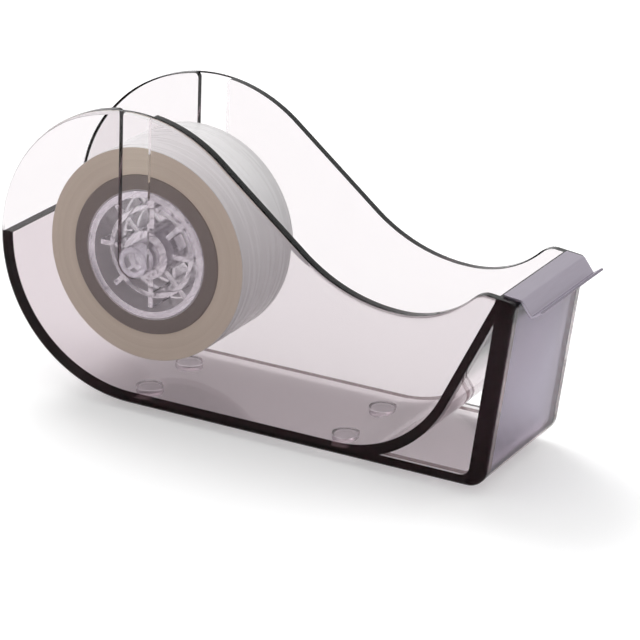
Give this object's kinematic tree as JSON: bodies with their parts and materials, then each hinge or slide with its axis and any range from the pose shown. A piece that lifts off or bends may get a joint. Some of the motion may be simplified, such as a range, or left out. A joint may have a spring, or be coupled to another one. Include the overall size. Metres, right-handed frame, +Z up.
{
  "type": "tape dispenser",
  "caption": "Low desk tape dispenser with clear smoke-tinted sides, a round lobe around a lift-out reel, and a toothed steel cutter at the front.",
  "frame": {"origin": "middle of the whole object's footprint, on the surface that the feet stand on", "axes": "+X along the length towards the cutter, +Y across the width towards the far side panel, +Z up"},
  "size_m": [0.1132, 0.032, 0.0602],
  "materials": {
    "smoke_acrylic": "clear, smoke tinted, polished",
    "blade_steel": "rolled sheet",
    "clear_foot": "clear soft plastic",
    "clear_hub": "clear moulded",
    "core_plastic": "translucent moulded",
    "tape_film": "wound film, satin"
  },
  "bodies": {
    "body": {"near_side_panel": "smoke_acrylic", "far_side_panel": "smoke_acrylic", "base_wrap": "smoke_acrylic", "ramp_panel": "smoke_acrylic", "cutter_blade": "blade_steel", "rear_near_foot": "clear_foot", "rear_far_foot": "clear_foot", "front_near_foot": "clear_foot", "front_far_foot": "clear_foot"},
    "axle": {"hub_axle": "clear_hub"},
    "reel": {"hub_wheel": "clear_hub", "tape_core": "core_plastic", "tape_roll": "tape_film"}
  },
  "joints": [
    {"name": "reel_lift", "type": "slide", "parent": "body", "child": "axle", "axis": [0, 0, 1], "range_m": [0, 0.056]},
    {"name": "reel_spin", "type": "hinge", "parent": "axle", "child": "reel", "pos_m": [-0.02733, 0, 0.0303], "axis": [0, 1, 0], "continuous": true}
  ]
}
